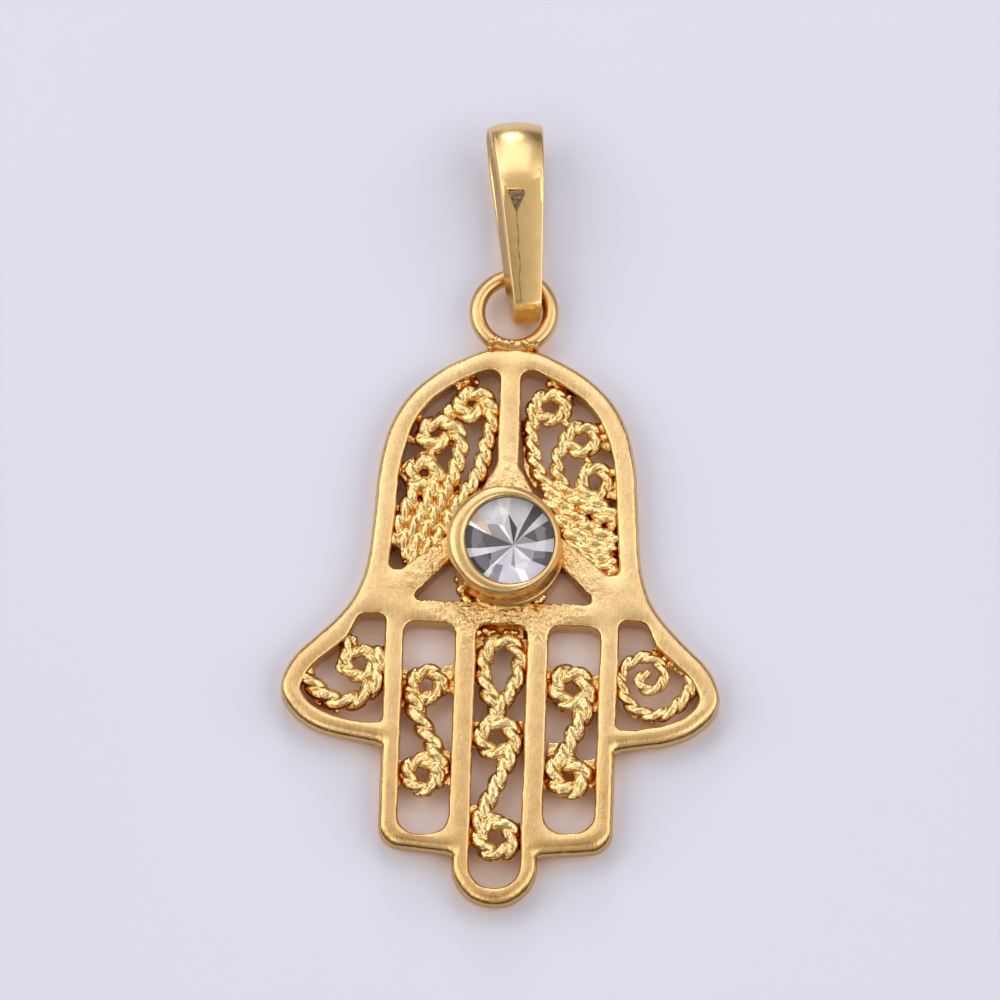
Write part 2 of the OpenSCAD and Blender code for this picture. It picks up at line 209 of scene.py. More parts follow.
def through(points, step, before=None, after=None):
    """Smooth curve through the points, with a point each step, and its course beyond its ends."""
    p = [np.asarray(q, dtype=float) for q in points]
    p = [2 * p[0] - p[1] if before is None else np.array(before)] + p \
        + [2 * p[-1] - p[-2] if after is None else np.array(after)]
    out = []
    for i in range(1, len(p) - 2):
        a, b, c, d = p[i - 1:i + 3]
        n = max(1, int(round(np.linalg.norm(c - b) / step)))
        for j in range(n):
            t = j / n
            out.append((2 * b + (c - a) * t + (2 * a - 5 * b + 4 * c - d) * t * t
                        + (3 * b - a - 3 * c + d) * t ** 3) / 2)
    return np.array(out + [p[-2]])


def evened(path, step):
    """The path with its points an even distance apart."""
    p = np.asarray(path, dtype=float)
    s = np.concatenate([[0], np.cumsum(np.linalg.norm(np.diff(p, axis=0), axis=1))])
    n = max(2, int(round(s[-1] / step)) + 1)
    q = np.linspace(0, s[-1], n)
    return np.stack([np.interp(q, s, p[:, k]) for k in range(p.shape[1])], axis=1), q


def corner(a, b, c, r):
    """Points round the corner at b, between a and c, with radius r."""
    a, b, c = (np.asarray(q[:2], dtype=float) for q in (a, b, c))
    u, w = (a - b) / np.linalg.norm(a - b), (c - b) / np.linalg.norm(c - b)
    half = math.acos(max(-1, min(1, float(u @ w)))) / 2
    m = b + (u + w) / np.linalg.norm(u + w) * r / math.sin(half)
    s, e = b + u * r / math.tan(half) - m, b + w * r / math.tan(half) - m
    a0 = math.atan2(s[1], s[0])
    turn = (math.atan2(e[1], e[0]) - a0 + 3 * math.pi) % (2 * math.pi) - math.pi
    n = max(3, int(abs(turn) / math.radians(7)))
    return [np.array(around(*m, r, r, a0 + turn * i / n)) for i in range(n + 1)]


def rounded(p):
    """Closed loop of points (x, y) and of corners (x, y, radius)."""
    out = []
    for i, q in enumerate(p):
        if len(q) < 3:
            out.append(np.asarray(q, dtype=float))
        else:
            out.extend(corner(p[i - 1], q, p[(i + 1) % len(p)], q[2]))
    return np.array(out)


# ---- the frame's outline

# Sizes as in the CAD
HALF_W, HAND_H = 8.75, 23.3
PALM_RIM, BAR_W, CROSS_W = 0.85, 0.85, 0.93
SLOT_W, FINGER_RIM, TIP_RIM, END_RIM, OUTER_RISE = 2.04, 0.75, 0.7, 0.45, 2.4
PITCH = SLOT_W + BAR_W
FINGER_X = PITCH + SLOT_W / 2 + FINGER_RIM
SLOT_TOP = HAND_H / 2
PALM_Y = SLOT_TOP + CROSS_W
TIP_R = SLOT_W / 2 + TIP_RIM
# The right side from the dome's top to the thumb's root, as shares of HALF_W and HAND_H
HALF = [
    (0, 1), (0.115, 0.996), (0.229, 0.978), (0.320, 0.959), (0.411, 0.932), (0.480, 0.902),
    (0.530, 0.868), (0.565, 0.828), (0.589, 0.778), (0.600, 0.722), (0.609, 0.670),
    (0.620, 0.622), (0.648, 0.575), (0.700, 0.533), (0.780, 0.496), (0.860, 0.466),
    (0.930, 0.440), (0.978, 0.411), (1, 0.379), (0.980, 0.352), (0.930, 0.328),
    (0.857, 0.309), (0.760, 0.296), (0.640, 0.288), (0.565, 0.283)
]


def at(x, y):
    """Place at these shares of the hand's half width and height."""
    return (x * HALF_W, y * HAND_H)


def inset(p, d0, d1):
    """The path moved into the metal, by d0 at its start and d1 at its end."""
    out = []
    for i in range(1, len(p) - 1):
        u = p[i + 1] - p[i - 1]
        u = u / np.linalg.norm(u)
        out.append(p[i] + np.array([u[1], -u[0]]) * (d0 + (d1 - d0) * i / (len(p) - 1)))
    return out


root = at(*HALF[-1])
side = through([at(*s) for s in HALF], 0.2, before=(-HALF[1][0] * HALF_W, HALF[1][1] * HAND_H),
               after=(FINGER_X, root[1]))
half_hand = rounded(list(side)
                    + [(FINGER_X, root[1] - 0.03, 0.3), (FINGER_X, OUTER_RISE - 0.02, 0.92),
                       (TIP_R, OUTER_RISE - 0.3, 0.22)]
                    + [around(0, TIP_R, TIP_R, TIP_R, a)
                       for a in np.radians(np.arange(-5, -86, -5))]
                    + [(0, 0)])
palm = rounded([(BAR_W / 2, HAND_H - PALM_RIM - 0.03, 0.4)]
               + [p for p in inset(side, PALM_RIM, PALM_RIM)
                  if p[0] > BAR_W / 2 + 0.5 and p[1] > 0.61 * HAND_H]
               + [at(0.531, 0.577) + (0.32,), at(0.2, 0.677), at(0.183, 0.695),
                  (BAR_W / 2, 0.788 * HAND_H, 0.9)])
thumb = rounded([(FINGER_X, 0.513 * HAND_H, 0.35), (FINGER_X + 0.12 * HALF_W, 0.512 * HAND_H, 0.45)]
                + [p for p in inset([q for q in side if q[1] < 0.56 * HAND_H], 0.95, 0.7)
                   if p[0] > FINGER_X + 0.6 and p[1] < 0.475 * HAND_H]
                + [(FINGER_X, root[1] + 0.84, 0.3)])
wedge = rounded([at(0.217, 0.624), (0.434 * HALF_W, PALM_Y, 0.22), (0.123 * HALF_W, PALM_Y)])


def slot_shape(x, low, low_r):
    """Slot of a finger, with its lower end and that end's corner radius."""
    h = SLOT_W / 2
    return rounded([(x - h, SLOT_TOP, 0.45), (x + h, SLOT_TOP, 0.45), (x + h, low, low_r),
                    (x - h, low, low_r)])


def flipped(p):
    """The loop on the hand's other side, still run through the same way round."""
    return np.asarray(p)[::-1] * np.array([-1, 1])


def area(p):
    """Area of a closed loop, positive where it runs anticlockwise."""
    return 0.5 * float(np.sum(p[:, 0] * np.roll(p[:, 1], -1) - np.roll(p[:, 0], -1) * p[:, 1]))


def filled_in(p, step):
    """The closed loop with long edges divided."""
    out = []
    for a, b in zip(p, np.roll(p, -1, axis=0)):
        n = max(1, int(math.ceil(np.linalg.norm(b - a) / step)))
        out.extend(a + (b - a) * i / n for i in range(n))
    out = np.array(out)
    keep = np.linalg.norm(out - np.roll(out, 1, axis=0), axis=1) > 0.004
    return out[keep]


def into_metal(p):
    """Mitred unit normals that point into the metal, which lies on the loop's left."""
    e = unit(np.roll(p, -1, axis=0) - p)
    n = np.stack([-e[:, 1], e[:, 0]], axis=1)
    m = unit(n + np.roll(n, 1, axis=0))
    return m / np.maximum(0.6, np.sum(m * n, axis=1))[:, None]


loops = [np.vstack([half_hand, flipped(half_hand)[1:-1]])]
for s in (1, -1):
    for hole in (palm, thumb, wedge, slot_shape(PITCH, OUTER_RISE + END_RIM, 0.42 * SLOT_W)):
        loops.append(hole if s > 0 else flipped(hole))
    if s > 0:
        # The right slot ends a little higher than the left one
        loops[-1] = loops[-1] + np.array([0, 0.2]) * (loops[-1][:, 1:] < 5)
loops.append(slot_shape(0, TIP_RIM, 0.49 * SLOT_W))
# Under the stone, hidden in the cup's wall
UNDER_R = 1.6
loops.append(np.array([around(0, CUP_Y, UNDER_R, UNDER_R, k * math.pi / 24) for k in range(48)]))
for i, p in enumerate(loops):
    if (area(p) > 0) != (i == 0):
        p = p[::-1]
    p = filled_in(p, 0.13)
    # The casting isn't quite even: its openings wander more than its outline
    size = 0.012 if i == 0 else 0.028
    d = np.array([wave(*q, 0, 1.3, 3.1 + i) + 0.6 * wave(*q, 0, 0.45, 9.7 + i)
                  + 0.35 * wave(*q, 0, 0.2, 5.2) for q in p])
    loops[i] = p + into_metal(p) * (size * d)[:, None]


def inside(q, loop):
    """Which of the places q lie in the loop."""
    a, b = loop, np.roll(loop, -1, axis=0)
    x, y = q[:, 0][:, None], q[:, 1][:, None]
    cross = ((a[:, 1] > y) != (b[:, 1] > y)) & (
        x < (b[:, 0] - a[:, 0]) * (y - a[:, 1]) / (b[:, 1] - a[:, 1] + 1e-12) + a[:, 0])
    return np.count_nonzero(cross, axis=1) % 2 == 1


def in_metal(q, rings):
    """Which places lie in the first ring and outside the others."""
    ok = inside(q, rings[0])
    for r in rings[1:]:
        ok &= ~inside(q, r)
    return ok


def near(q, pts, chunk=500):
    """Distance from each place to the nearest of the points."""
    out = np.empty(len(q))
    for i in range(0, len(q), chunk):
        far = np.sqrt(((q[i:i + chunk, None, :] - pts[None]) ** 2).sum(axis=2))
        out[i:i + chunk] = far.min(axis=1)
    return out


def cap(rings, grid):
    """Triangles over the metal inside the first ring and outside the others."""
    pts = np.vstack(rings)
    edges, base = [], 0
    for r in rings:
        edges += [(base + i, base + (i + 1) % len(r)) for i in range(len(r))]
        base += len(r)
    if grid:
        xs = np.arange(-HALF_W, HALF_W, grid)
        ys = np.arange(0, HAND_H, grid * 0.87)
        q = np.array([(x + (grid / 2 if k % 2 else 0), y) for k, y in enumerate(ys) for x in xs])
        q = q[in_metal(q, rings)]
        q = q[near(q, pts) > grid * 0.55]
        pts = np.vstack([pts, q])
    v, _, f, _, _, _ = delaunay_2d_cdt([Vector(p) for p in pts], edges, [], 0, 1e-7)
    v = np.array([list(p) for p in v])
    f = np.array([list(t) for t in f])
    mid = v[f].mean(axis=1)
    return v, f[in_metal(mid, rings)]


def facing_low(p, m):
    """From 0 to 1: how much the outer edge faces the wearer's feet, below the thumbs."""
    return np.clip((m[:, 1] - 0.1) / 0.6, 0, 1) * np.clip((8.6 - p[:, 1]) / 0.8, 0, 1)


def frame_mesh():
    """The flat casting: its walls round each loop, then its two faces."""
    verts, faces, tops, lows = [], [], [], []
    for i, p in enumerate(loops):
        m = into_metal(p)
        low = facing_low(p, m) if i == 0 else np.zeros(len(p))
        # Width and height of the worn edge: the outer one's grow below the thumbs and fingertips
        r, high = (0.26 + 0.32 * low, 0.24 + 0.18 * low) if i == 0 else (0.11 + low, 0.11 + low)
        low = low[:, None]
        rings = [p + m * (0.2 + 0.16 * low), p + m * (0.1 + 0.14 * low), p + m * (0.04 + 0.1 * low),
                 p + m * 0.05 * low]
        zs = [np.full(len(p), z) for z in (0, 0.06, 0.17, 0.4)]
        p = p - m * 0.03 * low
        for a in np.radians([0, 18, 36, 54, 72, 90]):
            rings.append(p + m * (r * (1 - math.cos(a)))[:, None])
            zs.append(FACE_Z - high + high * math.sin(a))
        base = sum(len(v) for v in verts)
        for q, z in zip(rings, zs):
            verts.append(np.column_stack([q, z]))
        faces += bands(len(rings), len(p), base)
        lows.append(rings[0])
        tops.append(rings[-1])
    # Only the front gets a fine grid of points, which carries its unevenness
    for rings, z, grid in ((tops, FACE_Z, 0.16), (lows, 0.0, 0)):
        v, f = cap(rings, grid)
        base = sum(len(q) for q in verts)
        verts.append(np.column_stack([v, np.full(len(v), z)]))
        faces += [tuple(base + t) for t in f]
    v = np.vstack(verts)
    top = v[:, 2] > 0.6
    d = near(v[top][:, :2], np.vstack(loops))
    soft = 0.06 * np.exp(-d / 0.24)
    rough = np.array([0.014 * wave(x, y, 0, 2.2, 1.7) + 0.006 * wave(x, y, 0, 0.8, 4.4)
                      for x, y in v[top][:, :2]])
    v[top, 2] += rough - soft
    return v, faces


# ---- materials

WHITE = (1.0, 1.0, 1.0)


def fill(nt, n, inputs):
    """Sets each input of a node, or links it where the value is another node's output."""
    for key, value in inputs.items():
        if isinstance(value, bpy.types.NodeSocket):
            nt.links.new(value, n.inputs[key])
        else:
            n.inputs[key].default_value = value


def node(nt, kind, inputs=None, **settings):
    """New node with these inputs and settings."""
    n = nt.nodes.new("ShaderNode" + kind)
    for key, value in settings.items():
        setattr(n, key, value)
    fill(nt, n, inputs or {})
    return n


def nodes_of(name):
    """New material, with its node tree and its shader."""
    mat = bpy.data.materials.new(name)
    mat.use_nodes = True
    nt = mat.node_tree
    nt.nodes.clear()
    bsdf = node(nt, "BsdfPrincipled")
    node(nt, "OutputMaterial", {0: bsdf.outputs[0]})
    return mat, nt, bsdf


def coords(nt, kind="Object"):
    """The shaded point's place on its object, or its other coordinates."""
    return node(nt, "TexCoord").outputs[kind]


def noise_of(nt, coord, scale, detail=3.0, rough=0.55):
    """Noise with this scale in waves per mm along X, Y and Z."""
    spot = node(nt, "Mapping", {"Scale": [k / MM for k in scale], "Vector": coord}).outputs[0]
    return node(nt, "TexNoise", {"Scale": 1, "Detail": detail, "Roughness": rough,
                                 "Vector": spot}).outputs["Fac"]


def ramp(nt, fac, stops):
    """Colour ramp of (place, colour). A colour of one number is grey."""
    r = node(nt, "ValToRGB", {"Fac": fac})
    el = r.color_ramp.elements
    while len(el) < len(stops):
        el.new(0.5)
    for e, (pos, col) in zip(el, stops):
        e.position = pos
        e.color = tuple(col) + (1,) if len(col) == 3 else (col[0],) * 3 + (1,)
    return r.outputs["Color"]


def bump_of(nt, heights):
    """Chain of bumps. Each is (output, strength, depth in mm)."""
    below = {}
    for fac, strength, depth in heights:
        b = node(nt, "Bump", {"Strength": strength, "Distance": depth * MM, "Height": fac, **below})
        below = {"Normal": b.outputs["Normal"]}
    return below["Normal"]


def joined(nt, kind, operation, a, b):
    """Result of a maths node on two outputs."""
    return node(nt, kind, {0: a, 1: b}, operation=operation).outputs[0]


def times(nt, a, b):
    return joined(nt, "VectorMath", "MULTIPLY", a, b)


def smooth_step(nt, value, a, b, low=0.0, high=1.0):
    """From low, where the value is a, to high, where it is b."""
    return node(nt, "MapRange", {"From Min": a, "From Max": b, "To Min": low, "To Max": high,
                                 "Value": value}, interpolation_type="SMOOTHSTEP").outputs["Result"]


def occlusion(nt, reach, samples):
    """How open the surface is to its surroundings, within a reach in mm."""
    return node(nt, "AmbientOcclusion", {"Distance": reach * MM}, samples=samples).outputs["AO"]


def around_cup(nt, coord):
    """Hammered and pitted marks that the casting has round its cup: their heights, and where the
    pits get painted shade.
    """
    far = node(nt, "VectorMath", {0: coord}, operation="LENGTH").outputs["Value"]
    y = node(nt, "SeparateXYZ", {0: coord}).outputs["Y"]
    blows = times(nt, ramp(nt, noise_of(nt, coord, (2.4, 2.4, 2.4)), [(0.36, (0,)), (0.62, (1,))]),
                  smooth_step(nt, far, 3.1 * MM, 4.6 * MM, 1, 0))
    below_cup = times(nt, smooth_step(nt, far, 2.8 * MM, 3.3 * MM, 1, 0),
                      smooth_step(nt, y, -1.9 * MM, -2.2 * MM))
    pits = ramp(nt, noise_of(nt, coord, (3.5, 9, 5), 2, 0.5), [(0.58, (0,)), (0.66, (1,))])
    return blows, times(nt, pits, below_cup)


def gold(name, dark, light, rough, marks, grain=(14, 3, 14), speck=0.12, reach=0.5, deep=0.3,
         side=WHITE, crevice_shade=(0.72, 0.42, 0.16), edge_gloss=1.0, of_frame=False):
    """Gold between two colours and two roughnesses.

    marks    bumps: noise scale, detail and roughness, then the bump's strength and depth in mm
    grain    scale of the fine specks, and speck, how dark they are
    reach    mm within which metal facing metal takes on the painted crevice shade, from an openness of deep down
    side     painted shade on upright faces, and edge_gloss, the share of their roughness that is left
    """
    mat, nt, bsdf = nodes_of(name)
    coord = coords(nt)
    tint = ramp(nt, noise_of(nt, coord, (0.35, 0.35, 0.35), 4), [(0.3, dark), (0.7, light)])
    grains = noise_of(nt, coord, grain, 3, 0.65)
    tint = times(nt, tint, ramp(nt, grains, [(0.3, (1 - speck,)), (0.7, WHITE)]))
    # Painted shade: the colour deepens to orange where metal faces metal, standing in for shade and
    # light bounced between gold faces
    shade = ramp(nt, occlusion(nt, reach, 6), [(deep, crevice_shade), (deep + 0.35, (1.0, 0.93, 0.8)),
                                               (1.0, WHITE)])
    tint = times(nt, tint, shade)
    # Painted shade: upright faces are coloured darker
    facing = node(nt, "SeparateXYZ", {0: coords(nt, "Normal")}).outputs["Z"]
    tint = times(nt, tint, ramp(nt, facing, [(0.2, side), (0.75, WHITE)]))
    extra = []
    if of_frame:
        # Painted shade: darker and deeper in colour towards the fingertips
        y = node(nt, "SeparateXYZ", {0: coord}).outputs["Y"]
        fingertip_shade = smooth_step(nt, y, -13.5 * MM, -1.5 * MM)
        tint = times(nt, tint, ramp(nt, fingertip_shade, [(0.0, (0.9, 0.85, 0.78)), (1.0, WHITE)]))
        blows, pits = around_cup(nt, coord)
        # Painted shade in the pits below the cup
        tint = times(nt, tint, ramp(nt, pits, [(0.1, WHITE), (0.7, (0.42, 0.27, 0.14))]))
        extra = [(blows, 0.9, 0.09), (pits, 0.8, -0.05)]
    worn = noise_of(nt, coord, (1.3, 1.3, 1.3), 5, 0.6)
    gloss = times(nt, ramp(nt, worn, [(0.25, (rough[0],)), (0.75, (rough[1],))]),
                  ramp(nt, facing, [(0.6, (edge_gloss,)), (0.97, (1,))]))
    heights = [(noise_of(nt, coord, scale, detail, k), strength, depth)
               for scale, detail, k, strength, depth in marks]
    fill(nt, bsdf, {"Metallic": 1, "Base Color": tint, "Roughness": gloss,
                    "Normal": bump_of(nt, heights + extra)})
    return mat


# The satin frame's side tint is painted shade on its upright faces
SATIN = gold("gold_satin", (0.88, 0.59, 0.255), (0.96, 0.675, 0.32), (0.23, 0.36), [
    ((13, 1.2, 4), 3, 0.6, 0.9, 0.012), ((0.9, 0.9, 0.9), 3, 0.5, 0.6, 0.03),
    ((11, 11, 11), 3, 0.6, 0.8, 0.009)], grain=(9, 3, 8), speck=0.2, side=(0.72, 0.62, 0.5),
    edge_gloss=0.45, of_frame=True)
CAST = gold("gold_cast", (0.82, 0.575, 0.235), (0.93, 0.70, 0.35), (0.13, 0.26), [
    ((4.5, 4.5, 4.5), 4, 0.6, 0.8, 0.045), ((12, 12, 12), 2, 0.5, 0.6, 0.012)], grain=(4, 4, 4),
    speck=0.14, reach=0.4, deep=0.24, crevice_shade=(0.84, 0.47, 0.1))
POLISHED = gold("gold_polished", (0.88, 0.61, 0.26), (0.93, 0.67, 0.32), (0.22, 0.31), [
    ((1.1, 1.1, 1.1), 3, 0.5, 0.4, 0.02), ((12, 3, 6), 2, 0.5, 0.5, 0.004)], speck=0.06)
CUP_MARKS = [((2.2, 2.2, 5), 4, 0.55, 0.5, 0.02), ((12, 12, 12), 2, 0.5, 0.5, 0.006)]
CUP = gold("gold_cup", (0.82, 0.55, 0.235), (0.90, 0.63, 0.29), (0.22, 0.34), CUP_MARKS, speck=0.1)


# ---- the frame

hand = piece("frame", *frame_mesh(), SATIN)
turned_out(hand.data, weld=2e-7)


# ---- twisted ropes

ROPE_Z = 0.8
STRAND_OFF, STRAND_R = 0.19, 0.33  # a strand's place and radius, as shares of the rope's width


def rope(points, thick, pitch=1.35, phase=0.0, thin_end=1.0):
    """Two strands twisted together, through places in the photograph."""
    path = through([place(u, v) for u, v in points], 0.2)
    path, s = evened(path, 0.05)
    n = len(path)
    wob = np.array([[wave(*q, 0, 0.9, seed + phase) for seed in (11, 17)] for q in path])
    path = path + 0.02 * wob
    t = unit(np.gradient(path, axis=0))
    right = np.column_stack([t[:, 1], -t[:, 0], np.zeros(n)])
    size = thick * np.linspace(1, thin_end, n) * (1 + 0.05 * wob[:, 0])
    turn = 2 * math.pi * s / pitch + phase + 0.25 * wob[:, 1]
    middle = np.column_stack([path, ROPE_Z + 0.03 * wob[:, 1]])
    out = []
    for a in (turn, turn + math.pi):
        c = middle + (size * STRAND_OFF)[:, None] * (
            np.cos(a)[:, None] * right + np.sin(a)[:, None] * np.array([0, 0, 1.0]))
        out.append(tube(c, size * STRAND_R))
    return out


def link(u0, v0, u1, v1, thick=0.4, z=0.72):
    """Short drop of metal between a rope and the frame."""
    a, b = np.array(place(u0, v0) + (z,)), np.array(place(u1, v1) + (z,))
    path = np.array([a + (b - a) * k / 6 for k in range(7)])
    r = thick / 2 * (1 + 0.18 * np.cos(np.linspace(0, 2 * math.pi, 7)))
    return [tube(path, r)]


STRAY_PX = 1.4


def crumbs(u0, v0, u1, v1, n, size=0.09, z=0.85):
    """Small grains left by the casting between two places."""
    out = []
    for _ in range(n):
        t = rng.random()
        u, v = u0 + (u1 - u0) * t, v0 + (v1 - v0) * t
        x, y = place(u + rng.normal(0, STRAY_PX), v + rng.normal(0, STRAY_PX))
        out.append(ball((x, y, z - 0.12 + rng.normal(0, 0.07)), size * (0.9 + 0.7 * rng.random()),
                        (1, 1, 1.2)))
    return out


def arc(cx, cy, rx, ry, a0, a1):
    """Places on an ellipse of the photograph, with its angles in degrees anticlockwise."""
    n = max(3, int(abs(a1 - a0) / 32))
    return [around(cx, cy, rx, -ry, math.radians(a0 + (a1 - a0) * i / n)) for i in range(n + 1)]


def web(outline, low=0.4, high=0.8):
    """Cast metal that fills the space between ropes, from one height to another."""
    p = np.array([place(u, v, 0.6) for u, v in outline])
    n = len(p)
    v = np.vstack([np.column_stack([p, np.full(n, z)]) for z in (low, high)])
    return [(v, ends(2, n) + bands(2, n))]


# ---- the filigree

ROPE_CELL, LUMP_CELL = ((0.034, 0.03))


def opening(name, groups):
    """Casts one opening's ropes, webs, drops and grains, each where the photograph shows it."""
    fused("filigree_" + name, sum(groups, []), ROPE_CELL, 2, 0.024)


opening("palm_left", [
    rope(arc(471, 403, 12, 11.5, -25, -262) + [
        (482, 393), (490, 403), (492, 416), (490, 430), (486, 444), (483, 458), (479, 470),
        (474, 480), (467, 490), (460, 500), (453, 511), (447, 523), (440, 535), (430, 545),
        (419, 554), (409, 561)], 0.74),
    rope(arc(434.5, 433, 12, 11, -25, -262) + [
        (446, 421), (455, 428), (459, 440), (459, 452), (456, 464), (453, 475), (448, 487),
        (443, 498), (437, 510), (431, 522), (423, 534), (414, 545), (406, 555)],
         0.72, phase=1.1),
    rope(arc(422.5, 473, 11.5, 11.5, -25, -262) + [
        (431, 462), (436, 472), (434, 485), (429, 497), (423, 509), (417, 521), (409, 533),
        (401, 545)], 0.74, phase=2.0),
    rope([(414, 490), (408, 503), (402, 516), (397, 529), (394, 541)], 0.7, 1.4, phase=0.6),
    rope([(440, 447), (428, 452), (417, 458), (404, 466)], 0.42, phase=0.2),
    web([(392, 506), (420, 497), (452, 486), (470, 478), (488, 470), (486, 484), (464, 506),
         (450, 534), (426, 554), (408, 565), (404, 552), (390, 551)], 0.3, 0.56),
    web([(486, 404), (499, 408), (499, 432), (490, 434)], 0.5, 0.8),
    link(456, 378, 463, 392), link(464, 377, 472, 386, 0.5, 0.6),
    link(450, 406, 458, 410), link(440, 414, 452, 410, 0.36),
    link(417, 413, 422, 424, 0.36), link(408, 436, 422, 442, 0.36, 0.7),
    link(397, 468, 411, 482), link(400, 464, 414, 462, 0.34),
    crumbs(442, 408, 456, 413, 7, 0.1), crumbs(414, 416, 430, 420, 6, 0.1),
    crumbs(406, 436, 416, 440, 5, 0.1), crumbs(400, 464, 408, 474, 7, 0.1),
    crumbs(456, 378, 476, 379, 9, 0.13, 0.6), crumbs(488, 408, 498, 430, 8, 0.13),
])
opening("palm_right", [
    rope(arc(550, 406, 15.5, 12.5, -150, 150) + [
        (533, 411), (531, 425), (532, 440), (534, 455), (538, 469), (544, 481), (552, 492),
        (561, 502), (571, 512), (582, 521), (594, 528), (606, 534), (616, 538)], 0.66),
    rope(arc(582, 438, 14, 12.5, -150, 150) + [
        (566, 438), (560, 449), (557, 461), (558, 473), (563, 484), (571, 494), (581, 502),
        (592, 509), (603, 516), (615, 522)], 0.64, phase=1.3),
    rope(arc(594.5, 481.5, 12.5, 15, -150, 150) + [
        (582, 480), (584, 490), (591, 498), (601, 505), (611, 511), (618, 515)],
         0.62, phase=0.4),
    rope([(546, 497), (554, 508), (563, 519), (574, 529), (586, 537), (599, 544), (613, 549)],
         0.58, 1.4, phase=2.2),
    rope([(556, 517), (565, 529), (576, 540), (588, 549), (601, 556), (614, 560)],
         0.56, 1.4, phase=0.2),
    rope([(565, 535), (575, 547), (586, 557), (597, 565), (609, 568)], 0.54, 1.4, phase=1.8),
    web([(546, 488), (566, 490), (580, 498), (600, 510), (618, 518), (619, 566), (604, 573),
         (590, 566), (572, 548), (560, 528)], 0.3, 0.52),
    web([(521, 420), (528, 416), (530, 456), (536, 476), (546, 492), (534, 488), (524, 470)],
        0.4, 0.66),
    link(556, 378, 562, 393, 0.5, 0.65), link(564, 385, 569, 397, 0.4, 0.6),
    link(562, 417, 572, 427), link(594, 430, 606, 425, 0.5),
    link(597, 442, 610, 444, 0.44, 0.6), link(584, 449, 590, 464, 0.36),
    link(606, 470, 616, 471, 0.46), link(607, 482, 617, 484, 0.46),
    link(604, 493, 617, 494),
    crumbs(546, 380, 568, 390, 12, 0.12, 0.75), crumbs(595, 424, 608, 440, 12, 0.12, 0.8),
    crumbs(607, 466, 617, 496, 8, 0.12, 0.8), crumbs(592, 570, 614, 573, 8, 0.13, 0.8),
    crumbs(566, 392, 574, 402, 5, 0.1),
    link(590, 571, 614, 569, 0.5, 0.7), link(612, 540, 616, 566, 0.4, 0.65),
])
opening("thumb_left", [
    rope([(351, 637), (347, 648), (346, 660), (349, 671), (358, 674), (368, 672), (373, 663),
          (371, 653), (363, 648), (354, 650), (349, 656)], 0.6, 1.3),
    rope([(381, 650), (380, 664), (377, 677), (369, 689), (357, 698), (343, 700), (330, 696),
          (319, 688), (310, 679), (304, 669)], 0.82, 1.7, phase=0.5),
    web([(374, 652), (386, 648), (386, 686), (374, 682)], 0.45, 0.85),
    web([(338, 640), (350, 632), (354, 650), (346, 656)], 0.4, 0.75),
    web([(306, 680), (330, 696), (344, 702), (338, 712), (316, 702)], 0.3, 0.6),
    rope([(344, 655), (339, 663), (343, 671)], 0.34, 1.0),
    crumbs(380, 648, 384, 684, 6, 0.12), crumbs(320, 698, 342, 706, 6, 0.1, 0.75),
])
opening("thumb_right", [
    rope([(691, 672), (690, 685), (683, 697), (672, 707), (658, 713), (644, 712), (632, 705),
          (624, 694), (620, 682), (622, 669), (630, 660), (641, 655), (652, 657), (661, 664),
          (663, 675), (658, 685), (648, 688), (640, 683), (640, 675), (647, 672)],
         0.68, 1.4, thin_end=0.72),
    web([(650, 652), (662, 644), (686, 664), (682, 676), (664, 664)], 0.4, 0.75),
    web([(622, 700), (640, 706), (660, 714), (652, 722), (632, 716)], 0.25, 0.5),
    web([(678, 700), (692, 684), (698, 690), (690, 702)], 0.3, 0.6),
    web([(614, 664), (624, 664), (624, 696), (614, 696)], 0.4, 0.75),
    crumbs(654, 652, 680, 668, 14, 0.1), crumbs(617, 664, 620, 694, 6),
    crumbs(676, 704, 686, 698, 5, 0.1),
])
opening("finger_left", [
    rope([(413, 697), (421, 698), (431, 695), (439, 689), (441, 680), (436, 672), (427, 669),
          (418, 672), (413, 680), (412, 691), (414, 701)], 0.68, 1.4),
    rope([(413, 694), (415, 705), (420, 717), (426, 728), (432, 740), (437, 753), (439, 766)],
         0.84, 1.7, phase=0.9),
    rope([(439, 761), (438, 774), (431, 784), (420, 786), (411, 779), (408, 769), (413, 760),
          (422, 757), (431, 760)], 0.7, 1.4, phase=0.3),
    web([(401, 668), (413, 673), (410, 690), (414, 703), (401, 708)]),
    web([(443, 668), (457, 666), (457, 694), (442, 692)], 0.4, 0.85),
    web([(398, 758), (410, 765), (408, 778), (398, 786)]),
    web([(440, 750), (451, 752), (451, 786), (438, 782)], 0.4, 0.85),
    crumbs(404, 670, 407, 708, 6), crumbs(450, 670, 454, 694, 5),
    crumbs(400, 760, 404, 784, 5), crumbs(443, 752, 449, 786, 6),
])
